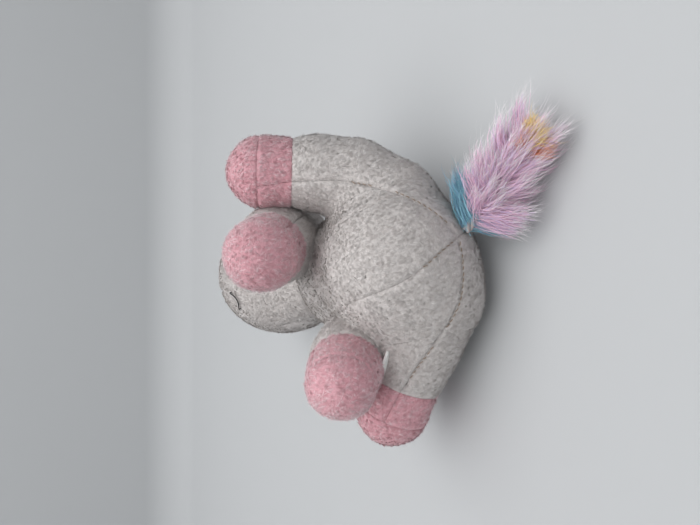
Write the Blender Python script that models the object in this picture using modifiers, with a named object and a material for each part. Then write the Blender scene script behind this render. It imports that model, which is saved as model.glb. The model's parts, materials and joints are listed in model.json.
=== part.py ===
"""Plush unicorn at rest on its back: legs in the air, face to the ceiling, tail on the floor.

The frame: +Z up, +Y from the rump to the head, +X to the toy's left. The origin lies under the rump, on the
flat of the back that the toy rests on. Lengths are metres. Covers are thin shells of pile cloth, cut into the
panels of the sewing pattern, and the filling inside them is a solid of its own.
"""

from math import cos, degrees, pi, radians, sin
from types import SimpleNamespace

import bmesh
import bpy
from mathutils import Matrix, Vector

# Cloth and clearances
CLOTH = 0.0014
GAP = 0.0003
INSET = CLOTH + GAP
SWING_ROOM = 0.0007
SEAM_SIDE = GAP / 2
RIM_ROOM = 0.0004

# Torso: two balls and the cone between them, pressed flat where it lies on the floor
RUMP = Vector((0.0, 0.003, 0.0265))
RUMP_R = 0.0275
CHEST = Vector((-0.004, 0.040, 0.0235))
CHEST_R = 0.0245
TOY_LEFT = Vector((0.858, 0.218, 0.4645)).normalized()
SEAM_DROP = 0.006
SEAM_TILT = radians(23)
PELLET_DEPTH = 0.012

# Head, neck and what is sewn on the head
NECK = Vector((-0.0060, 0.0615, 0.0250))
NECK_R = 0.0110
NOD = (radians(-8), radians(15))
HEAD = Vector((-0.0055, 0.100, 0.0330))
HEAD_R = 0.0293
HEAD_SQUARENESS = 2.2
GUSSET_HALF = 0.008
MUZZLE_AT = Vector((0.0, -0.0175, 0.0195))
MUZZLE_R = Vector((0.0105, 0.0090, 0.0085))
EYE_SIDE = radians(25)
EYE_DROP = radians(20)
EYE_WIDTH = 0.0095
THREAD_R = 0.0004
HORN_R = 0.0062
HORN_LENGTH = 0.028
HORN_RISE = radians(8)
HORN_CLOTH = 0.0008
HORN_TURNS = 3.5
EAR_SIDE = 0.0175
EAR_HALF = 0.0060
EAR_LENGTH = 0.017
EAR_THICK = 0.0016
EAR_SPLAY = radians(14)
EAR_FLAP = (radians(-25), radians(25))
MANE_HALF = 0.008
MANE_R = 0.0328
MANE_THICK = 0.0030
MANE_SPAN = radians(29)
MANE_STEP = radians(30)
MANE_START = radians(-9)

# Hooves, the same on every leg
HOOF_R = 0.0134
CUFF = 0.012
CUFF_TOP_R = 0.0125
DOME = 0.0128

# Tail
TAIL_ROOT = Vector((0.0116, -0.0204, 0.0170))
TAIL_TIP = Vector((0.0450, -0.0440, 0.0118))
TAIL_R = 0.0112
TAIL_CORE_R = 0.0022
TAIL_BORE_R = 0.0028
TAIL_WAG = (radians(-30), radians(10))

# Care label in the seam of the hind right leg
LABEL_ALONG = 0.026
LABEL_LEAN = radians(-20)
LABEL_SIZE = Vector((0.0104, 0.0005, 0.0026))

# A box larger than any leg, for halving its covers at the two side seams
HALF_BOX = 0.06

# Smoothness of turned shapes: steps to a full turn
BODY_STEPS = 20
LEG_STEPS = 16

COLOURS = {
    "grey_plush": ((0.58, 0.55, 0.53), 0.95),
    "pink_plush": ((0.66, 0.33, 0.38), 0.95),
    "fill": ((0.85, 0.85, 0.84), 1.0),
    "pellets": ((0.80, 0.78, 0.70), 0.6),
    "thread": ((0.03, 0.03, 0.03), 0.6),
    "horn_cloth": ((0.80, 0.62, 0.32), 0.35),
    "gold_thread": ((0.75, 0.52, 0.20), 0.4),
    "fur_rose": ((0.70, 0.36, 0.52), 0.8),
    "fur_lilac": ((0.60, 0.45, 0.70), 0.8),
    "fur_aqua": ((0.25, 0.55, 0.62), 0.8),
    "fur_gold": ((0.85, 0.60, 0.25), 0.8),
    "backing": ((0.70, 0.66, 0.66), 0.9),
    "satin": ((0.88, 0.88, 0.88), 0.3),
}


def clear_scene():
    for thing in list(bpy.data.objects):
        bpy.data.objects.remove(thing)


def new_collection(name):
    group = bpy.data.collections.new(name)
    bpy.context.scene.collection.children.link(group)
    return group


clear_scene()
TOY = new_collection("plush_unicorn")
CUTTERS = new_collection("cutters")
TORSO_ROOM = bpy.data.collections.new("torso_room")
CUTTERS.children.link(TORSO_ROOM)


# ---------------------------------------------------------------- small helpers


def material(name):
    found = bpy.data.materials.get(name)
    if found:
        return found
    colour, roughness = COLOURS[name]
    made = bpy.data.materials.new(name)
    made.use_nodes = True
    shader = made.node_tree.nodes["Principled BSDF"]
    shader.inputs["Base Color"].default_value = (*colour, 1.0)
    shader.inputs["Roughness"].default_value = roughness
    shader.inputs["Metallic"].default_value = 0.0
    return made


def add(name, data, colour=None, group=TOY):
    """A new object, with its material unless it is a cutter."""
    thing = bpy.data.objects.new(name, data)
    group.objects.link(thing)
    if colour:
        data.materials.append(material(colour))
    return thing


def as_cutter(thing):
    thing.hide_render = True
    thing.display_type = "WIRE"
    return thing


def hinge_empty(name, place, axis, swing):
    """The empty that the pieces of a moving body hang from, on its joint's axis and marked with it."""
    empty = bpy.data.objects.new(name, None)
    empty.location = place
    empty.empty_display_size = 0.01
    empty["hinge_axis"] = tuple(axis)
    empty["hinge_range_deg"] = tuple(round(degrees(angle), 1) for angle in swing)
    TOY.objects.link(empty)
    bpy.context.view_layer.update()
    return empty


def hang(thing, empty):
    thing.parent = empty
    thing.matrix_parent_inverse = empty.matrix_world.inverted()


def frame(origin, along, towards):
    """A matrix whose Z runs along, and whose X leans towards."""
    z = Vector(along).normalized()
    x = Vector(towards) - z * z.dot(Vector(towards))
    x.normalize()
    y = z.cross(x)
    turn = Matrix((x, y, z)).transposed().to_4x4()
    return Matrix.Translation(origin) @ turn


def box(name, centre, size, turn=None, group=CUTTERS):
    bpy.ops.mesh.primitive_cube_add(size=1.0)
    cube = bpy.context.object
    cube.name = name
    for owner in list(cube.users_collection):
        owner.objects.unlink(cube)
    group.objects.link(cube)
    cube.data.transform(Matrix.Diagonal((*size, 1.0)))
    cube.matrix_world = Matrix.Translation(centre) @ (turn or Matrix.Identity(4))
    return cube


def cut(thing, operation, other):
    """A Boolean of thing with an object, or with every object of a collection."""
    boolean = thing.modifiers.new(operation.lower(), "BOOLEAN")
    boolean.solver = "EXACT"
    boolean.operation = operation
    if isinstance(other, bpy.types.Collection):
        boolean.operand_type = "COLLECTION"
        boolean.collection = other
    else:
        boolean.object = other


def frozen(thing):
    """The evaluated mesh of an object in world space; the object itself is removed."""
    bpy.context.view_layer.update()
    graph = bpy.context.evaluated_depsgraph_get()
    mesh = bpy.data.meshes.new_from_object(thing.evaluated_get(graph), depsgraph=graph)
    mesh.transform(thing.matrix_world)
    bpy.data.objects.remove(thing)
    return mesh


def largest_island(mesh):
    """Takes away the slips of cloth that the cuts leave loose."""
    work = bmesh.new()
    work.from_mesh(mesh)
    left = set(work.verts)
    islands = []
    while left:
        island = {left.pop()}
        edge = set(island)
        while edge:
            edge = {e.other_vert(v) for v in edge for e in v.link_edges} - island
            island |= edge
        left -= island
        islands.append(island)
    keep = max(islands, key=len)
    bmesh.ops.delete(work, geom=[v for v in work.verts if v not in keep], context="VERTS")
    work.to_mesh(mesh)
    work.free()


def turned(name, outline, place, steps, colour=None, group=TOY, turn=2 * pi, start=0.0, wall=0.0):
    """A shape turned about the Z of place: outline is (radius, height) from top to bottom.

    A wall thickness makes an open outline, or a part of a turn, a closed shell on its inner side.
    """
    mesh = bpy.data.meshes.new(name)
    points = [(r, 0.0, h) for r, h in outline]
    mesh.from_pydata(points, [(i, i + 1) for i in range(len(points) - 1)], [])
    thing = add(name, mesh, colour, group)
    thing.matrix_world = place @ Matrix.Rotation(start, 4, "Z")
    screw = thing.modifiers.new("turn", "SCREW")
    screw.angle = turn
    screw.steps = steps
    screw.render_steps = steps
    screw.use_merge_vertices = True
    screw.merge_threshold = 0.00005
    if wall:
        shell = thing.modifiers.new("wall", "SOLIDIFY")
        shell.thickness = wall
        shell.offset = -1.0
    return thing


def arc(radius, height, middle, first, last, count):
    """Outline points on an ellipse about the axis, from one angle to another above its middle."""
    angles = [first + (last - first) * i / count for i in range(count + 1)]
    return [(radius * cos(a), middle + height * sin(a)) for a in angles]


def swing_room(name, pivot, ball, sleeve, ways):
    """The hull of a ball at a pivot and of a sleeve turned about each of the ways it can point."""
    points = []
    for way in ways:
        place = frame(pivot, way, Vector((0.3, 0.5, 0.8)))
        round_end = arc(ball, ball, 0.0, -0.15, -pi / 2, 3)
        for radius, height in sleeve + round_end:
            for i in range(12):
                angle = 2 * pi * i / 12
                points.append(place @ Vector((radius * cos(angle), radius * sin(angle), height)))
    hull = bmesh.new()
    for point in points:
        hull.verts.new(point)
    bmesh.ops.remove_doubles(hull, verts=hull.verts, dist=0.0004)
    bmesh.ops.convex_hull(hull, input=hull.verts)
    loose = [v for v in hull.verts if not v.link_faces]
    bmesh.ops.delete(hull, geom=loose, context="VERTS")
    bmesh.ops.recalc_face_normals(hull, faces=hull.faces)
    mesh = bpy.data.meshes.new(name)
    hull.to_mesh(mesh)
    hull.free()
    return as_cutter(add(name, mesh, group=TORSO_ROOM))


def closed_ends(outline):
    """The same outline with its first and last points exactly on the axis."""
    return [(0.0, outline[0][1])] + outline[1:-1] + [(0.0, outline[-1][1])]


def thread(name, points, radius, colour, cyclic=False):
    """A sewn thread as a closed tube along points."""
    curve = bpy.data.curves.new(name, "CURVE")
    curve.dimensions = "3D"
    curve.bevel_depth = radius
    curve.bevel_resolution = 1
    curve.use_fill_caps = True
    spline = curve.splines.new("POLY")
    spline.points.add(len(points) - 1)
    for slot, point in zip(spline.points, points):
        slot.co = (*point, 1.0)
    spline.use_cyclic_u = cyclic
    return add(name, curve, colour)


# ---------------------------------------------------------------- torso

SPINE = (Vector((0.0, 1.0, 0.0)) - TOY_LEFT * TOY_LEFT.y).normalized()
BELLY = TOY_LEFT.cross(SPINE)


def torso_outline(inset):
    """From the chest end to the rump end of the two joined balls."""
    long = (CHEST - RUMP).length
    lean = (RUMP_R - CHEST_R) / long
    chest_part = arc(CHEST_R - inset, CHEST_R - inset, long, pi / 2, lean, 5)
    rump_part = arc(RUMP_R - inset, RUMP_R - inset, 0.0, lean, -pi / 2, 7)
    return closed_ends(chest_part + rump_part)


def torso_solid(name, inset):
    """The torso's form, inset by a distance, with its lying face flat."""
    place = frame(RUMP, CHEST - RUMP, TOY_LEFT)
    solid = turned(name, torso_outline(inset), place, BODY_STEPS, group=CUTTERS)
    depth = 0.03
    floor = box(name + "_floor", Vector((0.0, 0.02, inset - depth / 2)), (0.2, 0.2, depth))
    cut(solid, "DIFFERENCE", as_cutter(floor))
    return solid


def quadrant(name, side, front):
    """A box over one quarter of the torso: side is +1 to the toy's left, front +1 to the belly."""
    across = TOY_LEFT
    out = (BELLY * cos(SEAM_TILT) - SPINE * sin(SEAM_TILT)).normalized()
    along = out.cross(across)
    half = 0.05
    reach = half + SEAM_SIDE
    centre = RUMP - BELLY * SEAM_DROP + across * side * reach + out * front * reach
    turn = Matrix((across, along, out)).transposed().to_4x4()
    long = 4 * half
    return as_cutter(box(name, centre, (2 * half, long, 2 * half), turn))


def make_torso():
    outer = torso_solid("torso_outer", 0.0)
    inner = as_cutter(torso_solid("torso_inner", CLOTH))
    cut(outer, "DIFFERENCE", inner)
    shell = frozen(outer)
    panels = (
        ("side_panel_left", 1, -1),
        ("side_panel_right", -1, -1),
        ("belly_panel_left", 1, 1),
        ("belly_panel_right", -1, 1),
    )
    for name, side, front in panels:
        panel = add(name, shell.copy(), "grey_plush")
        cut(panel, "INTERSECT", quadrant(name + "_quarter", side, front))
        cut(panel, "DIFFERENCE", TORSO_ROOM)
        whole = frozen(panel)
        largest_island(whole)
        add(name, whole)
    fill = add("body_fill", frozen(torso_solid("fill_form", INSET)), "fill")
    pouch = add("pellet_bag", fill.data.copy(), None)
    pouch.data.materials.clear()
    pouch.data.materials.append(material("pellets"))
    size = 0.1
    turn = Matrix((TOY_LEFT, SPINE, BELLY)).transposed().to_4x4()
    low = RUMP - SPINE * (PELLET_DEPTH + GAP / 2 + size / 2)
    high = RUMP - SPINE * (PELLET_DEPTH - GAP / 2 - size / 2)
    cut(pouch, "INTERSECT", as_cutter(box("rump_end", low, (size, size, size), turn)))
    cut(fill, "INTERSECT", as_cutter(box("chest_end", high, (size, size, size), turn)))
    cut(pouch, "DIFFERENCE", TORSO_ROOM)
    cut(fill, "DIFFERENCE", TORSO_ROOM)


# ---------------------------------------------------------------- legs

LEGS = (
    SimpleNamespace(
        name="hind_left",
        hip=Vector((0.0225, 0.0065, 0.0260)),
        hoof=Vector((0.0330, 0.037, 0.0660)),
        root_r=0.0148,
        ankle_r=0.0124,
        seam=Vector((-0.30, -0.80, 0.50)),
        hinge=Vector((1.0, 0.0, 0.0)),
        swing=(radians(-3), radians(6)),
    ),
    SimpleNamespace(
        name="hind_right",
        hip=Vector((-0.0125, -0.0045, 0.0148)),
        hoof=Vector((-0.0532, 0.0085, 0.0232)),
        root_r=0.0136,
        ankle_r=0.0120,
        seam=Vector((0.30, -0.80, 0.55)),
        hinge=Vector((0.0, 0.0, 1.0)),
        swing=(radians(-2), radians(22)),
    ),
    SimpleNamespace(
        name="front_left",
        hip=Vector((0.0110, 0.0530, 0.0440)),
        hoof=Vector((0.0025, 0.023, 0.0710)),
        root_r=0.0120,
        ankle_r=0.0106,
        seam=Vector((0.80, -0.30, 0.20)),
        hinge=TOY_LEFT,
        swing=(radians(-22), 0.0),
    ),
    SimpleNamespace(
        name="front_right",
        hip=Vector((-0.0275, 0.0325, 0.0275)),
        hoof=Vector((-0.0370, 0.0, 0.0528)),
        root_r=0.0118,
        ankle_r=0.0106,
        seam=Vector((0.50, 0.20, 0.80)),
        hinge=TOY_LEFT,
        swing=(radians(-25), 0.0),
    ),
)


def leg_radius(leg, height):
    """The leg narrows smoothly from the hip to the top of the hoof."""
    share = max(0.0, min(1.0, height / (leg.length - CUFF)))
    ease = share * share * (3 - 2 * share)
    return leg.root_r + (leg.ankle_r - leg.root_r) * ease


def sleeve_outline(leg, top, bottom, count, inset=0.0):
    heights = [top + (bottom - top) * i / count for i in range(count + 1)]
    return [(leg_radius(leg, h) - inset, h) for h in heights]


def cuff_outline(leg, inset=0.0):
    return [
        (HOOF_R - inset, leg.length - SEAM_SIDE),
        (HOOF_R - 0.0002 - inset, leg.length - CUFF / 2),
        (CUFF_TOP_R - inset, leg.length - CUFF + RIM_ROOM),
    ]


def leg_room(leg):
    """A cutter that leaves the torso clear of this leg over its whole swing."""
    reach = 0.72 * leg.length
    sleeve = sleeve_outline(leg, reach, 0.0, 2, -SWING_ROOM)
    ways = []
    for angle in leg.swing:
        ways.append(Matrix.Rotation(angle, 3, leg.hinge) @ (leg.hoof - leg.hip))
    swing_room(leg.name + "_room", leg.hip, leg.root_r + SWING_ROOM, sleeve, ways)


def make_leg(leg):
    leg.length = (leg.hoof - leg.hip).length
    leg_room(leg)
    empty = hinge_empty(leg.name + "_hip", leg.hip, leg.hinge, leg.swing)
    place = frame(leg.hip, leg.hoof - leg.hip, leg.seam)
    pieces = []
    for side, way in (("outer", 1), ("inner", -1)):
        half = box(leg.name + "_" + side + "_half", Vector(), (HALF_BOX, HALF_BOX, 2 * HALF_BOX))
        half.matrix_world = place @ Matrix.Translation((0.0, way * (HALF_BOX + GAP) / 2, 0.0))
        as_cutter(half)
        sleeve = sleeve_outline(leg, leg.length - CUFF - SEAM_SIDE, 0.0, 3)
        for part, outline, colour in (
            ("_leg_", sleeve, "grey_plush"),
            ("_cuff_", cuff_outline(leg), "pink_plush"),
        ):
            cloth = turned(leg.name + part + side, outline, place, LEG_STEPS, colour, wall=CLOTH)
            cut(cloth, "INTERSECT", half)
            pieces.append(cloth)
    dome = arc(HOOF_R, DOME, leg.length + RIM_ROOM, pi / 2, 0.0, 4)
    dome[0] = (0.0, dome[0][1])
    name = leg.name + "_sole"
    pieces.append(turned(name, dome, place, LEG_STEPS, "pink_plush", wall=CLOTH))
    inner_dome = arc(HOOF_R - INSET, DOME - INSET, leg.length, pi / 2, 0.0, 3)
    inner_sleeve = sleeve_outline(leg, leg.length - CUFF, 0.0, 2, INSET)
    root = arc(leg.root_r - INSET, leg.root_r - INSET, 0.0, 0.0, -pi / 2, 3)[1:]
    filling = closed_ends(inner_dome + inner_sleeve + root)
    pieces.append(turned(leg.name + "_leg_fill", filling, place, LEG_STEPS, "fill"))
    for piece in pieces:
        hang(piece, empty)
    return empty


def make_label(leg, empty):
    """A blank folded label that stands up out of the leg's upper seam."""
    along = (leg.hoof - leg.hip).normalized()
    up = Matrix.Rotation(LABEL_LEAN, 3, along) @ Vector((0.0, 0.0, 1.0))
    place = frame(leg.hip + along * LABEL_ALONG, up - along * along.dot(up), along)
    label = box("care_label", Vector(), LABEL_SIZE, group=TOY)
    label.data.materials.append(material("satin"))
    lift = leg_radius(leg, LABEL_ALONG) + GAP + LABEL_SIZE.z / 2
    label.matrix_world = place @ Matrix.Translation((0.0, 0.0, lift))
    bpy.context.view_layer.update()
    hang(label, empty)


# ---------------------------------------------------------------- head

HEAD_AXIS = (HEAD - NECK).normalized()
HEAD_REACH = (HEAD - NECK).length
LEFT = Vector((1.0, 0.0, 0.0))


def head_arc(inset, first, last, count):
    """The head's rounded-square section, as an outline about the axis from the neck to the crown."""
    size = HEAD_R - inset
    power = 2 / HEAD_SQUARENESS
    points = []
    for i in range(count + 1):
        angle = first + (last - first) * i / count
        wide = abs(cos(angle)) ** power
        high = abs(sin(angle)) ** power
        points.append((size * wide, HEAD_REACH + size * (high if angle > 0 else -high)))
    return points


def neck_room():
    ball = NECK_R + SWING_ROOM
    ways = [Matrix.Rotation(angle, 3, LEFT) @ HEAD_AXIS for angle in NOD]
    swing_room("neck_room", NECK, ball, [(ball, 0.0115), (ball, 0.0)], ways)


def ellipsoid(name, centre, radii, group, colour=None):
    bpy.ops.mesh.primitive_uv_sphere_add(segments=16, ring_count=10, radius=1.0)
    ball = bpy.context.object
    ball.name = name
    for owner in list(ball.users_collection):
        owner.objects.unlink(ball)
    group.objects.link(ball)
    ball.data.transform(Matrix.Diagonal((*radii, 1.0)))
    ball.location = centre
    if colour:
        ball.data.materials.append(material(colour))
    bpy.context.view_layer.update()
    return ball


def make_head():
    neck_room()
    empty = hinge_empty("neck", NECK, LEFT, NOD)
    place = frame(NECK, HEAD_AXIS, LEFT)
    opening = radians(-70)
    slab = 0.1
    muzzle_at = HEAD + MUZZLE_AT
    room = ellipsoid("muzzle_room", muzzle_at, MUZZLE_R + Vector((GAP, GAP, GAP)), CUTTERS)
    as_cutter(room)
    form = turned("head_form", head_arc(0.0, pi / 2, opening, 11), place, BODY_STEPS, wall=CLOTH)
    shell = frozen(form)
    cheek = slab + GUSSET_HALF + GAP
    panels = (
        ("head_side_left", (HEAD.x + cheek, HEAD.y, HEAD.z), (2 * slab, slab, slab)),
        ("head_side_right", (HEAD.x - cheek, HEAD.y, HEAD.z), (2 * slab, slab, slab)),
        ("head_gusset", (HEAD.x, HEAD.y, HEAD.z), (2 * GUSSET_HALF, slab, slab)),
    )
    pieces = []
    for name, middle, size in panels:
        panel = add(name, shell.copy(), "grey_plush")
        strip = box(name + "_strip", Vector(middle), size)
        cut(panel, "INTERSECT", as_cutter(strip))
        cut(panel, "DIFFERENCE", room)
        whole = frozen(panel)
        largest_island(whole)
        pieces.append(add(name, whole))

    collar_top = head_arc(0.0, pi / 2, opening, 11)[-1][1] - GAP
    collar = [(NECK_R, collar_top), (NECK_R, 0.5 * collar_top), (NECK_R, 0.0)]
    pieces.append(turned("neck_cover", collar, place, LEG_STEPS, "grey_plush", wall=CLOTH))

    inside = head_arc(INSET, pi / 2, opening + radians(4), 8)
    column = [(NECK_R - INSET, collar_top + 4 * GAP), (NECK_R - INSET, 0.0)]
    ball = arc(NECK_R - INSET, NECK_R - INSET, 0.0, 0.0, -pi / 2, 3)[1:]
    fill = turned("head_fill", closed_ends(inside + column + ball), place, BODY_STEPS, "fill")
    cut(fill, "DIFFERENCE", room)
    pieces.append(fill)

    muzzle = ellipsoid("muzzle_cover", muzzle_at, MUZZLE_R, TOY, "grey_plush")
    hollow = ellipsoid("muzzle_hollow", muzzle_at, MUZZLE_R - Vector((CLOTH,) * 3), CUTTERS)
    behind = box("muzzle_back", muzzle_at, (0.04, 0.04, 0.04))
    muzzle_out = MUZZLE_AT.normalized()
    behind.matrix_world = frame(muzzle_at - muzzle_out * 0.0215, muzzle_out, LEFT)
    cut(muzzle, "DIFFERENCE", as_cutter(hollow))
    cut(muzzle, "DIFFERENCE", as_cutter(behind))
    pieces.append(muzzle)
    stuffing = ellipsoid("muzzle_fill", muzzle_at, MUZZLE_R - Vector((INSET,) * 3), TOY, "fill")
    pieces.append(stuffing)

    pieces += make_face()
    pieces += make_horn()
    pieces += make_mane()
    for piece in pieces:
        hang(piece, empty)
    return empty


def on_head(side, rise, lift):
    """A point over the head: side turns to the toy's left of straight up, rise towards the crown."""
    way = Vector((sin(side) * cos(rise), sin(rise), cos(side) * cos(rise)))
    return HEAD + way * (HEAD_R + lift)


def make_face():
    """Closed eyes, nostrils and a smile, all in thread."""
    pieces = []
    above = THREAD_R + 3 * GAP
    half = EYE_WIDTH / 2 / HEAD_R
    for name, side in (("eye_left", 1), ("eye_right", -1)):
        points = []
        for i in range(7):
            share = i / 3 - 1
            sag = 0.0030 / HEAD_R * (1 - share * share)
            points.append(on_head(side * EYE_SIDE + share * half, -EYE_DROP - sag, above))
        pieces.append(thread(name, points, THREAD_R, "thread"))
    middle = HEAD + MUZZLE_AT
    bar = Vector((0.0010, 0.0, 0.0))
    for name, side in (("nostril_left", 1), ("nostril_right", -1)):
        way = Vector((0.30 * side, -0.28, 0.90)).normalized()
        spot = middle + Vector(a * b for a, b in zip(way, MUZZLE_R * 1.12))
        pieces.append(thread(name, [spot - bar, spot + bar], THREAD_R, "thread"))
    smile = []
    for i in range(7):
        share = i / 3 - 1
        way = Vector((0.34 * share, -0.88, 0.20 + 0.18 * share * share)).normalized()
        smile.append(middle + Vector(a * b for a, b in zip(way, MUZZLE_R * 1.12)))
    pieces.append(thread("mouth_stitch", smile, THREAD_R, "thread"))
    return pieces


def make_horn():
    """A stuffed cone on the crown, with a thread wound round it."""
    way = Vector((0.0, cos(HORN_RISE), sin(HORN_RISE)))
    place = frame(HEAD + way * (HEAD_R + 2 * GAP), way, LEFT)
    tip_r = 0.0012
    cone = [(0.0, HORN_LENGTH), (tip_r, HORN_LENGTH - 0.001), (HORN_R, 0.0)]
    cover = turned("horn_cover", cone, place, 12, "horn_cloth", wall=HORN_CLOTH)
    room = HORN_CLOTH + GAP
    top = HORN_LENGTH - 0.006
    narrow = (HORN_R - tip_r) / HORN_LENGTH
    base_r = HORN_R - room * 1.1
    core = [(0.0, top), (base_r - narrow * top, top), (base_r, 0.0), (0.0, 0.0)]
    fill = turned("horn_fill", core, place, 12, "fill")
    points = []
    count = 32
    for i in range(count + 1):
        share = i / count
        height = 0.002 + share * 0.021
        angle = 2 * pi * HORN_TURNS * share
        radius = HORN_R - narrow * height + THREAD_R + 2 * GAP
        points.append(place @ Vector((radius * cos(angle), radius * sin(angle), height)))
    winding = thread("horn_thread", points, THREAD_R, "gold_thread")
    return [cover, fill, winding]


def make_mane():
    """Four coloured lengths of fur strip down the back of the head, and a forelock before the horn."""
    colours = ("fur_rose", "fur_lilac", "fur_aqua", "fur_gold")
    pieces = []
    edge = 0.0008
    strip = [(MANE_R - edge, MANE_HALF), (MANE_R, MANE_HALF / 2), (MANE_R, -MANE_HALF / 2)]
    strip.append((MANE_R - edge, -MANE_HALF))
    place = frame(HEAD, LEFT, Vector((0.0, 1.0, 0.0)))
    for i, colour in enumerate(colours):
        start = MANE_START - MANE_STEP * i - MANE_SPAN
        name = colour.replace("fur", "mane")
        kind = {"turn": MANE_SPAN, "start": start, "wall": MANE_THICK - edge}
        pieces.append(turned(name, strip, place, 5, colour, **kind))
    lock = [(r - 0.0006, h * 0.8) for r, h in strip]
    kind = {"turn": radians(20), "start": radians(24), "wall": 0.0018}
    pieces.append(turned("forelock", lock, place, 4, "fur_rose", **kind))
    return pieces


def make_ear(name, side, head_empty):
    """A leaf of two cloths, the lining towards the face; it flaps on its sewn base line."""
    base = Vector((side * EAR_SIDE, 0.0, 0.0005))
    over = (HEAD_R**2 - (EAR_SIDE - EAR_HALF) ** 2) ** 0.5
    base.y = over + 0.0016
    place = HEAD + base
    empty = hinge_empty(name + "_base", place, LEFT, EAR_FLAP)
    hang(empty, head_empty)
    for part, lift, colour in (("back", -1, "grey_plush"), ("lining", 1, "pink_plush")):
        curve = bpy.data.curves.new(name + "_" + part, "CURVE")
        curve.dimensions = "2D"
        curve.fill_mode = "BOTH"
        curve.extrude = EAR_THICK / 2
        spline = curve.splines.new("POLY")
        outline = []
        count = 12
        for i in range(count + 1):
            share = i / count
            swell = sin(pi * (0.22 + 0.78 * share)) ** 0.8
            outline.append((EAR_HALF * swell, EAR_LENGTH * share))
        mirrored = [(-x, y) for x, y in reversed(outline[:-1])]
        spline.points.add(len(outline) + len(mirrored) - 1)
        for slot, (x, y) in zip(spline.points, outline + mirrored):
            slot.co = (x, y, 0.0, 1.0)
        spline.use_cyclic_u = True
        leaf = add(curve.name, curve, colour)
        shift = Matrix.Translation((0.0, 0.0, lift * (EAR_THICK + GAP) / 2))
        turn = Matrix.Rotation(-side * EAR_SPLAY, 4, "Z")
        leaf.matrix_world = Matrix.Translation(place) @ turn @ shift
        bpy.context.view_layer.update()
        hang(leaf, empty)


# ---------------------------------------------------------------- tail


def make_tail():
    """A rolled strip of backing with three coloured sleeves of long fur."""
    along = TAIL_TIP - TAIL_ROOT
    place = frame(TAIL_ROOT, along, Vector((0.0, 0.0, 1.0)))
    empty = hinge_empty("tail_root", TAIL_ROOT, Vector((0.0, 0.0, 1.0)), TAIL_WAG)
    long = along.length
    core_r = TAIL_CORE_R
    top = arc(core_r, core_r, long - 0.010, pi / 2, 0.0, 3)
    bottom = arc(core_r, core_r, 0.0, 0.0, -pi / 2, 3)
    core = turned("tail_core", closed_ends(top + bottom), place, 10, "backing")

    def fur(share):
        return TAIL_BORE_R + (TAIL_R - TAIL_BORE_R) * sin(pi * share**0.8) ** 0.75

    cuts = (0.006, 0.34 * long, 0.76 * long)
    pieces = [core]
    for name, low, high in (("aqua", cuts[0], cuts[1]), ("rose", cuts[1] + GAP, cuts[2])):
        heights = [high + (low - high) * i / 4 for i in range(5)]
        outer = [(fur(h / long), h) for h in heights]
        ring = outer + [(TAIL_BORE_R, low), (TAIL_BORE_R, high)]
        sleeve = turned("tail_" + name, ring, place, LEG_STEPS, "fur_" + name)
        close_loop(sleeve)
        pieces.append(sleeve)
    low = cuts[2] + GAP
    deep = long - 0.0075
    heights = [long + (low - long) * i / 4 for i in range(5)]
    outer = [(0.0, long)] + [(fur(h / long), h) for h in heights[1:]]
    outline = outer + [(TAIL_BORE_R, low), (TAIL_BORE_R, deep), (0.0, deep)]
    pieces.append(turned("tail_gold", outline, place, LEG_STEPS, "fur_gold"))
    for piece in pieces:
        hang(piece, empty)
    knob = TAIL_CORE_R + 2 * SWING_ROOM
    as_cutter(ellipsoid("tail_room", TAIL_ROOT, (knob, knob, knob), TORSO_ROOM))


def close_loop(thing):
    """Joins the last point of a turned outline to its first, for a ring."""
    mesh = thing.data
    last = len(mesh.vertices) - 1
    mesh.edges.add(1)
    mesh.edges[len(mesh.edges) - 1].vertices = (last, 0)
    mesh.update()


# ---------------------------------------------------------------- the whole toy


def smooth_all():
    for thing in TOY.objects:
        if thing.type == "MESH":
            thing.data.shade_smooth()


def main():
    for leg in LEGS:
        empty = make_leg(leg)
        if leg.name == "hind_right":
            make_label(leg, empty)
    make_tail()
    head_empty = make_head()
    make_ear("ear_left", 1, head_empty)
    make_ear("ear_right", -1, head_empty)
    make_torso()
    smooth_all()
    bpy.context.view_layer.update()


main()
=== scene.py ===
"""The looks of the plush unicorn: covers of pile cloth, fur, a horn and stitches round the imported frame.

Every cover is the zero level of a distance field. The fields are balls and cones that follow the frame,
cut along the seams of the sewing pattern. Each one runs on inside its neighbour, so nothing opens when a
leg or the head moves. The pile is real: short blades of fibre that lie along the nap.
"""

import json
from math import cos, pi, radians, sin
from types import SimpleNamespace

import bpy
import numpy as np
from mathutils import Matrix, Vector
from mathutils.kdtree import KDTree


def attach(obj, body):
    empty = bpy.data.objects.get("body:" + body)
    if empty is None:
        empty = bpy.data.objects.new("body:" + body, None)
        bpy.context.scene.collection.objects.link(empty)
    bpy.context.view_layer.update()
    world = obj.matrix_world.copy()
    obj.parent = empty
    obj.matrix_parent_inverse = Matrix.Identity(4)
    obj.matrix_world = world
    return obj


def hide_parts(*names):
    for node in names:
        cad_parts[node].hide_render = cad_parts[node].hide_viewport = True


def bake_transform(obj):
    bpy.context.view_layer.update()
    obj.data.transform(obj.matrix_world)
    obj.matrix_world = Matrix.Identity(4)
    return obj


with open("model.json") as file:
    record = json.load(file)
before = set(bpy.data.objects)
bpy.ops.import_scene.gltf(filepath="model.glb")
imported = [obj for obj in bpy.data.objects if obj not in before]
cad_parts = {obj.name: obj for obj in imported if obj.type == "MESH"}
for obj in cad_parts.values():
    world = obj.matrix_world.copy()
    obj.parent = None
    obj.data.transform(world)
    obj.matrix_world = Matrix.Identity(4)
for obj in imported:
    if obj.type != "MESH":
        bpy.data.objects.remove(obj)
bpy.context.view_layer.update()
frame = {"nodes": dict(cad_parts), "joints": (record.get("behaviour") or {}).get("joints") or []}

MM = 0.001

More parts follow.
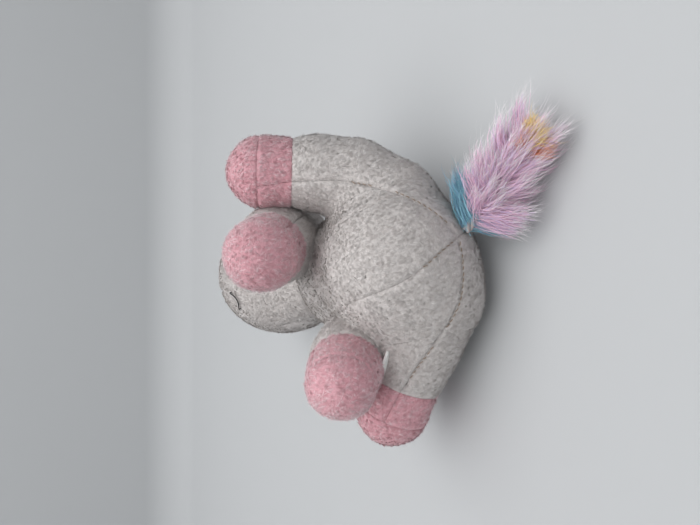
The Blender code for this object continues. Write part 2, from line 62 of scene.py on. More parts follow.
# Camera and room
CAMERA_AT = Vector((0.0, -0.150, 0.136))
CAMERA_PITCH = radians(30)
CAMERA_LENS = 27.72
WALL_AT = 0.44

# Cloth
CLOTH = 0.9 * MM
MESH_STEP = 1.0 * MM
SEAM_DEEP = 0.95 * MM
SEAM_WIDE = 1.3 * MM

# The pile stands this far over the cloth, so the cloth lies this far inside the frame's surfaces
PILE_RISE = 0.45 * MM

# The pile's blades, the tufts they gather in, and its fine crinkles
BLADES_PER_MM2 = 11.0
BLADE_LONG = 0.95 * MM
BLADE_HALF = 0.085 * MM
BLADE_LIFT = radians(19)
TUFTS_PER_MM2 = 0.80
TUFT_WIDE = 0.8 * MM
TUFT_ROUND = 0.45
TILT_MOST = 0.42
FUZZ_SHARE = 0.07
SHADE_SHARES = (0.55, 0.25, 0.20)
RIPPLE_WIDE = 0.42 * MM
RIPPLE_HIGH = 0.11 * MM

# Torso
RUMP = np.array((0.0, 0.003, 0.0265))
RUMP_R = 0.0275
CHEST = np.array((-0.004, 0.040, 0.0235))
CHEST_R = 0.0245
PUCKER = np.array((-0.0122, -0.0015, 0.0503))
DIMPLE = np.array((0.0040, 0.0030, 0.0520))

# Hooves: the cuff's length, and how far the sole's crown stands past the sole's seam
CUFF = 12.0 * MM
DOME = 12.8 * MM

# Each leg: how softly it flows into the torso, its hoof's radius and shift, which way the hoof points, and
# which way the side seam nearer the camera faces, or None where it is the torso's own
LEG_SHAPES = {
    "hind_left": (7.0 * MM, 13.5 * MM, (0.0, 0.0, 0.0), (0.02, 0.42, 0.91), None),
    "hind_right": (13.0 * MM, 13.5 * MM, (0.0, 2.0 * MM, 3.0 * MM), (-0.93, 0.28, 0.22), None),
    "front_left": (2.0 * MM, 13.2 * MM, (0.0, 0.0, 0.0), (-0.21, -0.78, 0.60), (0.70, -0.57, -0.44)),
    "front_right": (2.0 * MM, 11.9 * MM, (-2.0 * MM, 0.0, 0.0), (-0.33, -0.72, 0.55), (0.58, 0.39, 0.71)),
}
# Places along each leg's middle, from the hip to the ankle, with the leg's radius there, all in mm
LEG_RUNS = {
    "hind_left": (((22.5, 6.5, 26.5), 14.0), ((30.2, 17.5, 37.0), 13.6), ((32.5, 26.0, 47.0), 13.2)),
    "hind_right": (((-14.0, -3.0, 17.0), 14.8), ((-28.0, 2.0, 20.0), 13.8), ((-38.0, 6.0, 22.6), 13.0)),
    "front_left": (((11.0, 53.0, 44.0), 13.2), ((7.8, 40.8, 56.6), 13.4), ((6.0, 36.5, 60.5), 13.0)),
    "front_right": (((-27.5, 32.5, 27.5), 12.6), ((-33.4, 14.3, 41.0), 13.1), ((-35.2, 9.5, 45.5), 11.6)),
}

# The long side seam: where it turns up each hind leg, how steeply, its height under the rump, and its run
# up the near leg
FAR_TURN_X = -12 * MM
NEAR_TURN_X = 9.2 * MM
FAR_RISE = 0.33
NEAR_RISE = 1.15
RUMP_SEAM_Z = 21.5 * MM
NEAR_LEG_X = 27.8 * MM
NEAR_BEND_Z = 61 * MM

# Horn, ears and label
HORN_R = 6.2 * MM
HORN_LENGTH = 28 * MM
HORN_RISE = radians(8)
HORN_TURNS = 3.5
EAR_SPLAY = radians(14)
LABEL_WIDE = 10.4 * MM
LABEL_ROUND = 0.42 * MM
LABEL_TOP = 2.4 * MM
LABEL_FOOT = -2.3 * MM

# Stitches: pitch, length, how far each bows out, and the thread's radius
STITCH_EVERY = 1.9 * MM
STITCH_LONG = 1.25 * MM
STITCH_BOW = 0.16 * MM
STITCH_LIFT = 0.10 * MM
THREAD_R = 0.15 * MM

# Tail
TAIL_ROOT = np.array((11.4, -20.6, 17.5)) * MM
TAIL_TIP = np.array((39.0, -38.5, 8.5)) * MM

stitch_draw = np.random.default_rng(14)


# ---------------------------------------------------------------- reading the frame


def node_points(*names):
    """The corners of some CAD nodes."""
    return np.array([v.co for name in names for v in frame["nodes"][name].data.vertices])


def unit(v):
    v = np.asarray(v, float)
    return v / np.linalg.norm(v, axis=-1, keepdims=True)


def joint_of(child):
    return next(j for j in frame["joints"] if j["child"] == child)


TOY_LEFT = unit(joint_of("front_left")["axis"])
SPINE = unit(np.array((0.0, 1.0, 0.0)) - TOY_LEFT * TOY_LEFT[1])
BELLY = np.cross(TOY_LEFT, SPINE)


def read_leg(name):
    """A leg's hip, hoof, ankle and side seam, from its joint and its sole."""
    hip = np.array(joint_of(name)["pos_m"])
    sole = node_points(name + "_sole")
    tip = sole[np.argmax(np.linalg.norm(sole - hip, axis=1))]
    axis = unit(tip - hip)
    length = np.linalg.norm(tip - hip) - DOME
    soft, hoof_r, shift, way, seam = LEG_SHAPES[name]
    leg = SimpleNamespace(name=name, hip=hip, axis=axis, length=length, soft=soft, hoof_r=hoof_r)
    leg.way = unit(way)
    leg.hoof = hip + axis * length + np.array(shift)
    leg.ankle = leg.hoof - leg.way * CUFF
    leg.centres = [np.array(place) * MM for place, _ in LEG_RUNS[name]]
    leg.radii = [radius * MM - PILE_RISE for _, radius in LEG_RUNS[name]]
    if seam is None:
        leg.side = side_seam
    else:
        across = unit(np.cross(leg.way, unit(seam)))
        outer = node_points(name + "_leg_outer").mean(0) - node_points(name + "_leg_inner").mean(0)
        across = across * np.sign(across @ outer)
        leg.side = lambda p: (p - leg.hoof) @ across
    return leg


def soft_ramp(x, wide=2 * MM):
    """0 below 0, x above, and its slope, with a soft knee."""
    slack = np.sqrt(x * x + wide * wide)
    return (x + slack) / 2, (1 + x / slack) / 2


def side_seam(p):
    """The side seam: up one hind leg, down to the tail, and out along the other; above 0 outside."""
    left, left_slope = soft_ramp(FAR_TURN_X - p[:, 0])
    right, right_slope = soft_ramp(p[:, 0] - NEAR_TURN_X)
    slant = np.sqrt(1 + (FAR_RISE * left_slope) ** 2 + (NEAR_RISE * right_slope) ** 2)
    under = (RUMP_SEAM_Z + FAR_RISE * left + NEAR_RISE * right - p[:, 2]) / slant
    bend, _ = soft_ramp(p[:, 2] - NEAR_BEND_Z)
    outside = p[:, 0] - NEAR_LEG_X + 0.20 * bend
    return -joined(-under, -outside, 6 * MM)


LEGS = [read_leg(name) for name in ("hind_left", "hind_right", "front_left", "front_right")]

head_points = node_points("head_side_left", "head_side_right", "head_gusset")
head_low, head_high = head_points.min(0), head_points.max(0)
HEAD_R = (head_high[0] - head_low[0]) / 2
HEAD = (head_high + head_low) / 2
HEAD[1] = head_high[1] - HEAD_R
NECK = np.array(joint_of("head")["pos_m"])
MUZZLE = np.array((HEAD[0] + 0.0008, HEAD[1] - 0.0170, HEAD[2] + 0.0190))
MUZZLE_RADII = np.array((8.6, 8.0, 8.0)) * MM


# ---------------------------------------------------------------- distance fields


def ball(p, centre, radius):
    return np.linalg.norm(p - centre, axis=1) - radius


def ellipsoid(p, centre, radii):
    q = (p - centre) / radii
    k0 = np.linalg.norm(q, axis=1)
    k1 = np.linalg.norm(q / radii, axis=1)
    return k0 * (k0 - 1.0) / np.maximum(k1, 1e-9)


def cone(p, a, b, ra, rb):
    """Distance to the hull of two balls."""
    ba = b - a
    long2 = ba @ ba
    rr = ra - rb
    a2 = long2 - rr * rr
    pa = p - a
    y = pa @ ba
    z = y - long2
    x2 = ((pa * long2 - np.outer(y, ba)) ** 2).sum(1)
    y2 = y * y * long2
    z2 = z * z * long2
    k = np.sign(rr) * rr * rr * x2
    over = np.sqrt(x2 + z2) / long2 - rb
    under = np.sqrt(x2 + y2) / long2 - ra
    beside = (np.sqrt(x2 * a2 / long2) + y * rr) / long2 - ra
    return np.where(np.sign(z) * a2 * z2 > k, over, np.where(np.sign(y) * a2 * y2 < k, under, beside))


def fillet(a, b, wide):
    """How much a smooth union stands proud of the sharper one."""
    h = np.maximum(wide - np.abs(a - b), 0.0) / wide
    return h * h * wide / 4


def joined(a, b, wide):
    return np.minimum(a, b) - fillet(a, b, wide)


def chain(p, centres, radii, wide):
    d = None
    for a, b, ra, rb in zip(centres, centres[1:], radii, radii[1:]):
        part = cone(p, a, b, ra, rb)
        d = part if d is None else joined(d, part, wide)
    return d


def on_floor(p, d, round_edge=6 * MM):
    """Presses a form flat where it would sink into the floor."""
    return -joined(-d, p[:, 2], round_edge)


def dent(p, place, wide, deep):
    """A soft hollow round a place."""
    return deep * np.exp(-((p - place) ** 2).sum(1) / wide**2)


def torso_form(p):
    rump = RUMP + np.array((0.0, 1.3 * MM, 0.6 * MM))
    d = cone(p, rump, CHEST, RUMP_R - 0.4 * MM - PILE_RISE, CHEST_R - PILE_RISE)
    d = d - 0.25 * MM * swirl(p, 9.0 * MM, 3)[:, 0]
    d = d + dent(p, PUCKER, 3.5 * MM, 1.0 * MM) + dent(p, DIMPLE, 5.0 * MM, 0.7 * MM)
    return on_floor(p, d)


def leg_form(leg, p):
    cuff = leg.hoof - leg.way * 0.6 * CUFF
    shank = chain(p, leg.centres + [cuff], leg.radii + [min(12.4 * MM, leg.hoof_r) - PILE_RISE], 5 * MM)
    round_r = leg.hoof_r - PILE_RISE
    foot = cone(p, cuff, leg.hoof - leg.way * 1.6 * MM, round_r - 0.5 * MM, round_r)
    d = joined(shank, foot, 2 * MM) - 0.18 * MM * swirl(p, 6.0 * MM, 7)[:, 0]
    return on_floor(p, d, 3 * MM)


def head_form(p):
    """A ball, fuller towards the jaw, on a thick neck."""
    d = ball(p, HEAD, HEAD_R - 0.6 * MM - PILE_RISE)
    jaw = HEAD + np.array((0.0, -0.011, -0.003))
    d = joined(d, ball(p, jaw, HEAD_R - 5.2 * MM), 8 * MM)
    neck = cone(p, NECK, HEAD - np.array((0.0, 0.012, 0.004)), 0.0165, 0.024)
    d = joined(d, neck, 8 * MM) - 0.15 * MM * swirl(p, 8.0 * MM, 11)[:, 0]
    d = joined(d, ellipsoid(p, MUZZLE, MUZZLE_RADII), 2 * MM)
    return on_floor(p, d, 3 * MM)


def torso_field(p):
    d = torso_form(p)
    for leg in LEGS:
        d = d - fillet(d, leg_form(leg, p), leg.soft)
    return d - fillet(torso_form(p), head_form(p), NECK_FILLET)


def leg_field(leg):
    def field(p):
        d = leg_form(leg, p)
        return d - fillet(d, torso_form(p), leg.soft)

    return field


NECK_FILLET = 5 * MM


def head_field(p):
    d = head_form(p)
    return d - fillet(d, torso_form(p), NECK_FILLET)


def gradient(field, p, step=0.05 * MM):
    g = np.empty_like(p)
    for i in range(3):
        shift = np.zeros(3)
        shift[i] = step
        g[:, i] = (field(p + shift) - field(p - shift)) / (2 * step)
    return g


def slope(field, p):
    """The unit gradient of a field."""
    return unit(gradient(field, p) + 1e-9)


# ---------------------------------------------------------------- meshes from fields


def settle(field, p, rounds=3):
    """Moves points onto the zero level."""
    for _ in range(rounds):
        g = gradient(field, p)
        steep = np.maximum((g * g).sum(1), 0.04)
        p = p - g * (field(p) / steep)[:, None]
    return p


def skin(field, low, high, step):
    """Points and triangles of the zero level of a field inside a box: a surface net, evened out."""
    low, high = np.array(low), np.array(high)
    counts = np.ceil((high - low) / step).astype(int) + 1
    axes = [low[i] + step * np.arange(counts[i]) for i in range(3)]
    grid = np.stack(np.meshgrid(*axes, indexing="ij"), -1)
    inside = (field(grid.reshape(-1, 3)) < 0).reshape(counts)
    cells = counts - 1
    total = np.zeros(cells, int)
    for i in (0, 1):
        for j in (0, 1):
            for k in (0, 1):
                total += inside[i : i + cells[0], j : j + cells[1], k : k + cells[2]]
    live = (total > 0) & (total < 8)
    number = np.full(cells, -1)
    number[live] = np.arange(live.sum())
    points = low + (np.argwhere(live) + 0.5) * step
    quads = []
    for axis in range(3):
        along = [slice(None)] * 3
        along[axis] = slice(0, -1)
        ahead = [slice(None)] * 3
        ahead[axis] = slice(1, None)
        first, second = inside[tuple(along)], inside[tuple(ahead)]
        one, two = [a for a in range(3) if a != axis]
        for flip in (False, True):
            edges = np.argwhere(first & ~second if flip else ~first & second)
            keep = (edges[:, one] > 0) & (edges[:, two] > 0)
            keep &= (edges[:, one] < cells[one]) & (edges[:, two] < cells[two])
            edges = edges[keep]
            around = []
            for da, db in ((0, 0), (-1, 0), (-1, -1), (0, -1)):
                at = edges.copy()
                at[:, one] += da
                at[:, two] += db
                around.append(number[tuple(at.T)])
            if flip == (axis != 1):
                around = around[::-1]
            quads.append(np.stack(around, 1))
    quads = np.concatenate(quads)
    for _ in range(3):
        total = np.zeros_like(points)
        count = np.zeros(len(points))
        for i in range(4):
            np.add.at(total, quads[:, i], points[quads[:, i - 1]] + points[quads[:, (i + 1) % 4]])
            np.add.at(count, quads[:, i], 2)
        points = settle(field, total / count[:, None], 2)
    triangles = np.concatenate([quads[:, [0, 1, 2]], quads[:, [0, 2, 3]]])
    a, b, c = (points[triangles[:, i]] for i in range(3))
    inward = (np.cross(b - a, c - a) * slope(field, (a + b + c) / 3)).sum(1) < 0
    triangles[inward] = triangles[inward][:, ::-1]
    return points, triangles


def divide(points, triangles, value):
    """Cuts triangles along the zero level of a function of place."""
    v = value(points)
    v = np.where(np.abs(v) < 0.02 * MM, 0.0, v)
    side = np.sign(v)
    s = side[triangles]
    mixed = (s.max(1) > 0) & (s.min(1) < 0)
    kept = triangles[~mixed]
    made = []
    fresh = {}
    extra = []

    def crossing(a, b):
        key = (a, b) if a < b else (b, a)
        if key not in fresh:
            share = v[key[0]] / (v[key[0]] - v[key[1]])
            fresh[key] = len(points) + len(extra)
            extra.append(points[key[0]] + (points[key[1]] - points[key[0]]) * share)
        return fresh[key]

    for tri in triangles[mixed]:
        signs = side[tri]
        if 0 in signs:
            turn = int(np.argmin(np.abs(signs)))
            a, b, c = np.roll(tri, -turn)
            x = crossing(b, c)
            made += [(a, b, x), (a, x, c)]
            continue
        lone = int(np.argmax(signs * -np.sign(signs.sum())))
        a, b, c = np.roll(tri, -lone)
        x, y = crossing(a, b), crossing(a, c)
        made += [(a, x, y), (x, b, c), (x, c, y)]
    if made:
        kept = np.concatenate([kept, np.array(made)])
        points = np.concatenate([points, np.array(extra)]) if extra else points
    return points, kept


def everywhere(p):
    return np.ones(len(p))


def softly(strength):
    return lambda p: np.full(len(p), strength)


def seam_cuts(points, triangles, seams):
    """Cuts along seams, and beside them where the groove's sides turn."""
    for value, _ in seams:
        for shift in (-1.0, -0.5, -0.2, 0.0, 0.2, 0.5, 1.0):
            offset = shift * SEAM_WIDE
            points, triangles = divide(points, triangles, lambda p, f=value, o=offset: f(p) - o)
    return points, triangles


def groove(points, seams):
    """How deep the seams pull the cloth in at each point; a seam is its signed distance and its strength."""
    deep = np.zeros(len(points))
    for value, strength in seams:
        x = np.clip(np.abs(value(points)) / SEAM_WIDE, 0.0, 1.0)
        deep = np.maximum(deep, (1.0 - x) ** 2 * (1.0 + x) * strength(points))
    return deep


def part_of(points, triangles, chosen):
    """The points and triangles of a choice of triangles."""
    tris = triangles[chosen]
    used, index = np.unique(tris, return_inverse=True)
    return points[used], index.reshape(-1, 3)


def mesh_object(name, points, faces, material):
    mesh = bpy.data.meshes.new(name)
    mesh.from_pydata(points.tolist(), [], faces.tolist())
    thing = bpy.data.objects.new(name, mesh)
    bpy.context.scene.collection.objects.link(thing)
    for one in material if isinstance(material, (list, tuple)) else [material]:
        mesh.materials.append(one)
    mesh.shade_smooth()
    return thing


def grid_faces(rows, columns, ring=True, start=0):
    """Triangles over rows of points; in a ring the last column joins the first."""
    faces = []
    for i in range(rows - 1):
        for k in range(columns if ring else columns - 1):
            a, b = start + i * columns + k, start + i * columns + (k + 1) % columns
            faces += [(a, b, b + columns), (a, b + columns, a + columns)]
    return faces


def thicken(thing, thickness=CLOTH):
    shell = thing.modifiers.new("thickness", "SOLIDIFY")
    shell.thickness = thickness
    shell.offset = -1.0


# ---------------------------------------------------------------- materials


def new_material(name, colour, roughness=0.9, sheen=0.0):
    made = bpy.data.materials.new(name)
    made.use_nodes = True
    shader = made.node_tree.nodes["Principled BSDF"]
    shader.inputs["Base Color"].default_value = (*colour, 1.0)
    shader.inputs["Roughness"].default_value = roughness
    shader.inputs["Specular IOR Level"].default_value = 0.2
    shader.inputs["Sheen Weight"].default_value = sheen
    shader.inputs["Sheen Roughness"].default_value = 0.5
    return made, shader


def noise(nodes, links, place, scale, detail, roughness):
    texture = nodes.new("ShaderNodeTexNoise")
    texture.inputs["Scale"].default_value = scale
    texture.inputs["Detail"].default_value = detail
    texture.inputs["Roughness"].default_value = roughness
    links.new(place, texture.inputs["Vector"])
    return texture.outputs["Fac"]


def blend_colours(nodes, links, factor, low, high):
    ramp = nodes.new("ShaderNodeValToRGB")
    for stop, position, colour in zip(ramp.color_ramp.elements, (0.3, 0.7), (low, high)):
        stop.position = position
        stop.color = (*colour, 1.0)
    links.new(factor, ramp.inputs["Fac"])
    return ramp.outputs["Color"]


def plush(name, low, high):
    """The ground of a pile cloth: mottled, with fine bumps where the fibres stand."""
    made, shader = new_material(name, high, 0.95, 0.35)
    nodes, links = made.node_tree.nodes, made.node_tree.links
    place = nodes.new("ShaderNodeTexCoord").outputs["Object"]
    mottle = noise(nodes, links, place, 420.0, 4.0, 0.7)
    links.new(blend_colours(nodes, links, mottle, low, high), shader.inputs["Base Color"])
    fine = noise(nodes, links, place, 1500.0, 3.0, 0.65)
    bump = nodes.new("ShaderNodeBump")
    bump.inputs["Strength"].default_value = 0.7
    bump.inputs["Distance"].default_value = 0.0004
    links.new(fine, bump.inputs["Height"])
    links.new(bump.outputs["Normal"], shader.inputs["Normal"])
    return made


def fibre(name, colour, roughness=0.85, sheen=0.2):
    return new_material(name, colour, roughness, sheen)[0]


GREY_CLOTH = plush("grey_plush_ground", (0.53, 0.495, 0.48), (0.65, 0.61, 0.595))
PINK_CLOTH = plush("pink_plush_ground", (0.62, 0.30, 0.34), (0.74, 0.41, 0.46))
# Three tones of each pile fibre: mid, light and dark. Tufts take them at random as the cloth's own tone. The
# light one is also painted highlight on the crests of the crinkles, and the dark one painted shade in their
# valleys.
GREY_PILE = [
    fibre("grey_pile_mid", (0.67, 0.63, 0.61)),
    fibre("grey_pile_light_and_painted_highlight", (0.73, 0.695, 0.68)),
    fibre("grey_pile_warm_and_painted_shade", (0.57, 0.525, 0.51)),
]
PINK_PILE = [
    fibre("pink_pile_mid", (0.77, 0.465, 0.51), 0.8, 0.6),
    fibre("pink_pile_light_and_painted_highlight", (0.84, 0.59, 0.63), 0.8, 0.6),
    fibre("pink_pile_deep_and_painted_shade", (0.68, 0.355, 0.40), 0.8, 0.6),
]
TAN_THREAD = fibre("tan_thread", (0.28, 0.20, 0.14), 0.7)
BLACK_THREAD = fibre("black_thread", (0.012, 0.012, 0.014), 0.5)
GOLD_THREAD = new_material("gold_thread_shine", (0.80, 0.56, 0.20), 0.32)[0]
GOLD_THREAD.node_tree.nodes["Principled BSDF"].inputs["Metallic"].default_value = 0.85
HORN_CLOTH = plush("horn_cloth_weave", (0.78, 0.72, 0.62), (0.90, 0.85, 0.76))
SATIN = new_material("satin_white", (0.90, 0.90, 0.88), 0.30)[0]
BACKING = fibre("tail_backing", (0.48, 0.42, 0.41), 0.9)
FUR = {
    "rose": (0.88, 0.61, 0.75),
    "lilac": (0.76, 0.60, 0.82),
    "aqua": (0.26, 0.52, 0.62),
    "blue": (0.22, 0.40, 0.56),
    "gold": (0.90, 0.66, 0.20),
    "orange": (0.80, 0.30, 0.16),
    "white": (0.93, 0.88, 0.91),
}
FUR = {name: fibre("fur_" + name, colour, 0.55, 0.3) for name, colour in FUR.items()}


# ---------------------------------------------------------------- pile and fur


def scattered(points, triangles, per_mm2, draw):
    """Random places over triangles: points, and the triangle of each."""
    a, b, c = (points[triangles[:, i]] for i in range(3))
    area = np.linalg.norm(np.cross(b - a, c - a), axis=1) / 2
    count = int(area.sum() / MM**2 * per_mm2)
    tri = np.searchsorted(np.cumsum(area) / area.sum(), draw.random(count))
    tri = np.minimum(tri, len(triangles) - 1)
    s, t = draw.random(count), draw.random(count)
    flip = s + t > 1
    s[flip], t[flip] = 1 - s[flip], 1 - t[flip]
    return a[tri] + (b - a)[tri] * s[:, None] + (c - a)[tri] * t[:, None], tri


def ribbons(name, paths, half_widths, sides, material, slots=None, normals=None):
    """Strands as flat ribbons: paths is (strand, step, xyz), tapering to a point at the last step."""
    count, steps = paths.shape[:2]
    taper = 1.0 - (np.arange(steps) / (steps - 1)) ** 2.2
    spread = sides[:, None, :] * (half_widths[:, None] * taper)[:, :, None]
    left = (paths - spread)[:, :-1]
    right = (paths + spread)[:, :-1]
    tip = paths[:, -1:]
    points = np.concatenate([left, right, tip], 1)
    per = points.shape[1]
    n = steps - 1
    faces = []
    for i in range(n - 1):
        faces += [(i, i + n, i + n + 1), (i, i + n + 1, i + 1)]
    faces.append((n - 1, 2 * n - 1, 2 * n))
    faces = np.array(faces)
    every = (faces[None] + (np.arange(count) * per)[:, None, None]).reshape(-1, 3)
    thing = mesh_object(name, points.reshape(-1, 3), every, material)
    if slots is not None:
        thing.data.polygons.foreach_set("material_index", np.ascontiguousarray(slots, np.int32).ravel())
    if normals is not None:
        custom = np.repeat(normals, per, axis=0)
        thing.data.normals_split_custom_set_from_vertices(custom.tolist())
    return thing


def swirl(p, scale, seed):
    """A smooth field of directions, from a few sine waves."""
    draw = np.random.default_rng(seed)
    total = np.zeros((len(p), 3))
    for _ in range(5):
        wave = draw.normal(size=(3, 3)) / scale
        phase = draw.random(3) * 2 * pi
        total += np.sin(p @ wave.T + phase)
    return total / 2.2


def ripple(p):
    """Fine crinkles of the pile."""
    return RIPPLE_HIGH * swirl(p, RIPPLE_WIDE, 15)[:, 0]


def pile(name, points, triangles, field, nap, material, seams=(), seed=1, long=BLADE_LONG):
    """Short fibre over a cover: blades gathered into tufts that lean along the nap and stray a little."""
    draw = np.random.default_rng(seed)
    dense = BLADES_PER_MM2 * 1.0
    roots, _ = scattered(points, triangles, dense, draw)
    near = groove(roots, seams)
    roots, near = roots[near < 0.90], near[near < 0.90]
    out = slope(field, roots)
    heads = np.flatnonzero(draw.random(len(roots)) < TUFTS_PER_MM2 / dense)
    tree = KDTree(len(heads))
    for i, at in enumerate(heads):
        tree.insert(Vector(roots[at]), i)
    tree.balance()
    mine = np.array([tree.find(Vector(place))[1] for place in roots])
    centre, up = roots[heads], out[heads]
    lay = nap(centre) + 0.6 * swirl(centre, 0.5 * MM, 5) + 0.4 * swirl(centre, 3.0 * MM, 9)
    lay = lay + 0.45 * draw.normal(size=centre.shape)
    lay = unit(lay - up * (lay * up).sum(1)[:, None] + 1e-9)
    lift = BLADE_LIFT + radians(7) * draw.normal(size=len(centre))
    tall = long * (0.75 + 0.5 * draw.random(len(centre)))
    tuft = centre + (lay * np.cos(lift)[:, None] + up * np.sin(lift)[:, None]) * tall[:, None]
    tuft = tuft + up * (0.10 * MM * draw.normal(size=len(centre)))[:, None]
    aside = roots - centre[mine]
    aside = aside / np.maximum(np.linalg.norm(aside, axis=1, keepdims=True) / TUFT_WIDE, 1.0)
    tips = tuft[mine] + aside * 0.55 + 0.10 * MM * draw.normal(size=roots.shape)
    lean = (tips - roots) * ((0.8 + 0.4 * draw.random(len(roots))) * (1.0 - 0.72 * near))[:, None]
    way = unit(lean)
    high = ripple(roots)
    steep = gradient(ripple, roots)
    steep = steep - out * (steep * out).sum(1)[:, None]
    base = roots + out * (high + 0.02 * MM)[:, None]
    paths = np.stack([base, base + lean], 1)
    sides = unit(np.cross(lay[mine], out) + 0.3 * draw.normal(size=roots.shape))
    fuzz = draw.random(len(roots)) < FUZZ_SHARE
    stand = out[fuzz] * 0.7 + 0.35 * draw.normal(size=(fuzz.sum(), 3))
    paths[fuzz, 1] += stand * MM * (1 - near[fuzz])[:, None]
    half = BLADE_HALF * (0.7 + 0.6 * draw.random(len(roots))) * 1.0
    half[fuzz] *= 0.4
    kind = draw.choice(3, len(heads), p=SHADE_SHARES)[mine]
    stray = draw.random(len(roots)) < 0.35
    kind[stray] = draw.choice(3, stray.sum(), p=SHADE_SHARES)
    # Painted shade and highlight: blades in the crinkles' valleys take the dark fibre, and blades on their
    # crests take the light one.
    kind[high < -0.6 * RIPPLE_HIGH] = 2
    kind[high > 0.6 * RIPPLE_HIGH] = 1
    kind[fuzz] = 0
    tilt = 0.25 * way + aside * (TUFT_ROUND / MM) - 1.0 * steep
    tilt = tilt / np.maximum(np.linalg.norm(tilt, axis=1, keepdims=True) / TILT_MOST, 1.0)
    tilt[fuzz] = 0
    return ribbons(name, paths, half, sides, material, kind, unit(out + tilt))


# ---------------------------------------------------------------- covers of the torso and the legs


def past(place, way):
    """How far a point lies past a plane."""
    return lambda p: (p - place) @ way


def leg_nap(leg):
    return lambda p: np.broadcast_to(-leg.way, p.shape)


def skin_near(field, places, margin=9 * MM, step=MESH_STEP):
    """The zero level of a field round some places."""
    return skin(field, places.min(0) - margin, places.max(0) + margin, step)


def ride_leg(thing):
    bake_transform(thing)


def cover_with_pile(part, points, triangles, field, nap, kind, seams, seed):
    """One piece of the sewing pattern: a thick cloth, its pile, and what it stands for."""
    cloth, fibres = (PINK_CLOTH, PINK_PILE) if kind == "pink_plush" else (GREY_CLOTH, GREY_PILE)
    cover = mesh_object(part + "_cloth", points, triangles, cloth)
    thicken(cover)
    fur = pile(part + "_pile", points, triangles, field, nap, fibres, seams=seams, seed=seed)
    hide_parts(part)
    return cover, fur


def make_leg(leg, number):
    field = leg_field(leg)
    everything = node_points(*(leg.name + part for part in ("_leg_fill", "_sole", "_cuff_outer")))
    points, triangles = skin_near(field, everything)
    ankle = past(leg.ankle, leg.way)
    sole = past(leg.hoof, leg.way)

    def below_sole(p):
        return 0.85 * (sole(p) < 0)

    seams = [(ankle, softly(0.5)), (sole, softly(0.5)), (leg.side, below_sole), *TORSO_SEAMS[2:]]
    points, triangles = seam_cuts(points, triangles, seams)
    middle = points[triangles].mean(1)
    wide = leg.side(middle)
    points = points - slope(field, points) * (groove(points, seams) * SEAM_DEEP)[:, None]
    above = sole(middle) > 0
    grey = ankle(middle) < 0
    choices = {
        "leg_outer": grey & (wide > 0),
        "leg_inner": grey & (wide <= 0),
        "cuff_outer": ~grey & ~above & (wide > 0),
        "cuff_inner": ~grey & ~above & (wide <= 0),
        "sole": above,
    }
    for i, (part, chosen) in enumerate(choices.items()):
        some, tris = part_of(points, triangles, chosen)
        kind = "grey_plush" if part.startswith("leg") else "pink_plush"
        part = f"{leg.name}_{part}"
        seed = 100 + 10 * number + i
        cover, fur = cover_with_pile(part, some, tris, field, leg_nap(leg), kind, seams, seed)
        if part.endswith("sole"):
            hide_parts(f"{leg.name}_leg_fill")
        for thing in (cover, fur):
            ride_leg(thing)


def centre_seam(p):
    return p @ TOY_LEFT - 12.5 * MM + 2.2 * MM * np.exp(-(((p[:, 2] - 41 * MM) / (9 * MM)) ** 2))


def up_to_pucker(p):
    return 0.7 * np.clip((4 * MM - p[:, 1]) / (8 * MM), 0.0, 1.0) * (p[:, 2] > 0.015)


def thigh_seam(p):
    """Between the belly and the inside of one hind leg."""
    return (p - THIGH) @ THIGH_ACROSS


def by_thigh(p):
    return 0.75 * np.clip((14 * MM - np.abs((p - THIGH) @ THIGH_ALONG)) / (4 * MM), 0.0, 1.0)


def groin_seam(p):
    return p[:, 0] + 21.4 * MM


def by_groin(p):
    up, down = (p[:, 2] - 22 * MM) / (2 * MM), (40 * MM - p[:, 2]) / (4 * MM)
    return 0.6 * np.clip(up, 0.0, 1.0) * np.clip(down, 0.0, 1.0)


THIGH = np.array((0.0180, -0.0035, 0.0455))
THIGH_ALONG = unit((0.42, -0.77, -0.49))
THIGH_ACROSS = unit((0.90, 0.41, 0.13))
TORSO_SEAMS = [
    (centre_seam, up_to_pucker),
    (side_seam, everywhere),
    (thigh_seam, by_thigh),
    (groin_seam, by_groin),
]


def make_torso():
    everything = node_points("side_panel_left", "side_panel_right", "belly_panel_left", "belly_panel_right")
    points, triangles = skin_near(torso_field, everything)
    points, triangles = seam_cuts(points, triangles, TORSO_SEAMS)
    middle = points[triangles].mean(1)
    left, side = centre_seam(middle) > 0, side_seam(middle) > 0
    points = points - slope(torso_field, points) * (groove(points, TORSO_SEAMS) * SEAM_DEEP)[:, None]

    def nap(p):
        return np.broadcast_to(-SPINE - 0.3 * BELLY, p.shape)

    choices = {
        "side_panel_left": left & side,
        "side_panel_right": ~left & side,
        "belly_panel_left": left & ~side,
        "belly_panel_right": ~left & ~side,
    }
    inside = {"belly_panel_left": "body_fill", "side_panel_right": "pellet_bag"}
    for i, (part, chosen) in enumerate(choices.items()):
        some, tris = part_of(points, triangles, chosen)
        cover, fur = cover_with_pile(
            part, some, tris, torso_field, nap, "grey_plush", TORSO_SEAMS, seed=40 + i
        )
        if part in inside:
            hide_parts(inside[part])
        for thing in (cover, fur):
            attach(thing, "torso")


# ---------------------------------------------------------------- head


